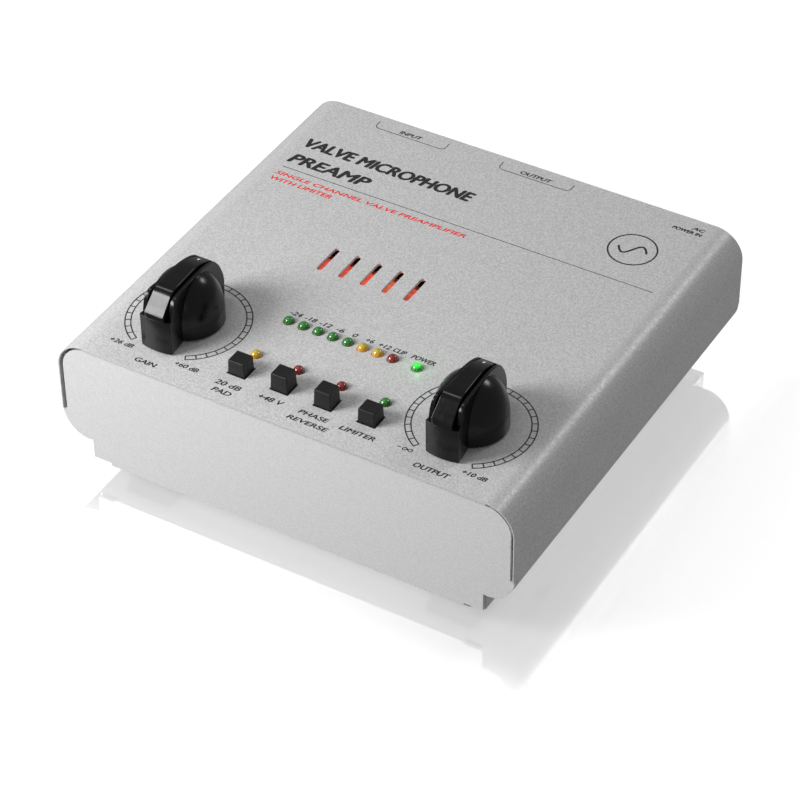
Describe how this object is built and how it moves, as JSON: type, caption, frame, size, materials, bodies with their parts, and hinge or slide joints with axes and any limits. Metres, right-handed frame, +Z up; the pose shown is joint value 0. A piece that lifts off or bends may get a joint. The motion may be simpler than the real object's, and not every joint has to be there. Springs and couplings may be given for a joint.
{
  "type": "microphone preamplifier",
  "caption": "Compact desktop valve microphone preamplifier with wing knobs, push buttons and a lamp meter on its flat top, and sockets on its back.",
  "frame": {"origin": "bottom centre of the bounding box, on the surface the feet stand on", "axes": "+X to the right seen from the front, +Y to the back where the sockets are, +Z up"},
  "size_m": [0.134, 0.1294, 0.0603],
  "materials": {
    "cover_paint": "fine-grained silver powder coat",
    "panel_paint": "smooth silver paint",
    "rubber": "matt black rubber",
    "screw_steel": "bright zinc-plated steel",
    "knob_plastic": "semi-gloss black",
    "knob_insert_plastic": "gloss black",
    "shaft_metal": "turned metal",
    "pot_case": "pressed steel",
    "button_plastic": "satin black",
    "switch_plastic": "natural moulded plastic",
    "lens_green": "clear-tinted gloss",
    "lens_amber": "clear-tinted gloss",
    "lens_red": "clear-tinted gloss",
    "lens_lit": "clear-tinted gloss, lit",
    "socket_plastic": "moulded black nylon",
    "nickel": "nickel plate",
    "circuit_board": "green solder mask",
    "valve_glass": "clear blown glass",
    "valve_metal": "grey carbonised nickel",
    "ceramic_body": "unglazed ceramic",
    "capacitor_sleeve": "shrunk blue sleeve",
    "heat_sink_black": "black anodised",
    "ribbon_plastic": "grey flexible plastic"
  },
  "bodies": {
    "case": {"top_cover": "cover_paint", "chassis": "panel_paint", "foot_front_left": "rubber", "foot_rear_left": "rubber", "foot_front_right": "rubber", "foot_rear_right": "rubber", "side_screw_left_front": "screw_steel", "side_screw_left_rear": "screw_steel", "side_screw_right_front": "screw_steel", "side_screw_right_rear": "screw_steel", "gain_pot": "pot_case", "output_pot": "pot_case", "pad_switch": "switch_plastic", "phantom_switch": "switch_plastic", "phase_switch": "switch_plastic", "limiter_switch": "switch_plastic", "meter_led_1": "lens_green", "meter_led_2": "lens_green", "meter_led_3": "lens_green", "meter_led_4": "lens_green", "meter_led_5": "lens_green", "meter_led_6": "lens_amber", "meter_led_7": "lens_amber", "meter_led_8": "lens_red", "power_led": "lens_lit", "pad_led": "lens_amber", "phantom_led": "lens_red", "phase_led": "lens_red", "limiter_led": "lens_green", "input_xlr": "socket_plastic", "output_xlr": "socket_plastic", "input_jack": "socket_plastic", "output_jack": "socket_plastic", "power_jack": "socket_plastic", "input_jack_nut": "nickel", "output_jack_nut": "nickel", "input_xlr_screw_upper": "screw_steel", "input_xlr_screw_lower": "screw_steel", "output_xlr_screw_upper": "screw_steel", "output_xlr_screw_lower": "screw_steel", "control_board": "circuit_board", "main_board": "circuit_board", "valve_glass": "valve_glass", "valve_electrodes": "valve_metal", "valve_socket": "ceramic_body", "supply_capacitor": "capacitor_sleeve", "filter_capacitor": "capacitor_sleeve", "heat_sink": "heat_sink_black", "ribbon_cable": "ribbon_plastic"},
    "gain_knob": {"gain_knob": "knob_plastic", "gain_knob_insert": "knob_insert_plastic", "gain_pot_shaft": "shaft_metal"},
    "output_knob": {"output_knob": "knob_plastic", "output_knob_insert": "knob_insert_plastic", "output_pot_shaft": "shaft_metal"},
    "pad_button": {"pad_button": "button_plastic"},
    "phantom_button": {"phantom_button": "button_plastic"},
    "phase_button": {"phase_button": "button_plastic"},
    "limiter_button": {"limiter_button": "button_plastic"},
    "xlr_latch": {"input_xlr_latch": "nickel"}
  },
  "joints": [
    {"name": "gain_knob_turn", "type": "hinge", "parent": "case", "child": "gain_knob", "pos_m": [-0.04175, -0.04103, 0.05], "axis": [0, 0, 1], "range_deg": [-150, 150]},
    {"name": "output_knob_turn", "type": "hinge", "parent": "case", "child": "output_knob", "pos_m": [0.04175, -0.04103, 0.05], "axis": [0, 0, 1], "range_deg": [-150, 150]},
    {"name": "pad_button_press", "type": "slide", "parent": "case", "child": "pad_button", "axis": [0, 0, -1], "range_m": [-0.0008, 0.0012], "stiffness_N_per_m": 150},
    {"name": "phantom_button_press", "type": "slide", "parent": "case", "child": "phantom_button", "axis": [0, 0, -1], "range_m": [0, 0.002], "stiffness_N_per_m": 150},
    {"name": "phase_button_press", "type": "slide", "parent": "case", "child": "phase_button", "axis": [0, 0, -1], "range_m": [0, 0.002], "stiffness_N_per_m": 150},
    {"name": "limiter_button_press", "type": "slide", "parent": "case", "child": "limiter_button", "axis": [0, 0, -1], "range_m": [-0.0008, 0.0012], "stiffness_N_per_m": 150},
    {"name": "xlr_latch_press", "type": "slide", "parent": "case", "child": "xlr_latch", "axis": [0, 0, -1], "range_m": [0, 0.001], "stiffness_N_per_m": 300}
  ]
}
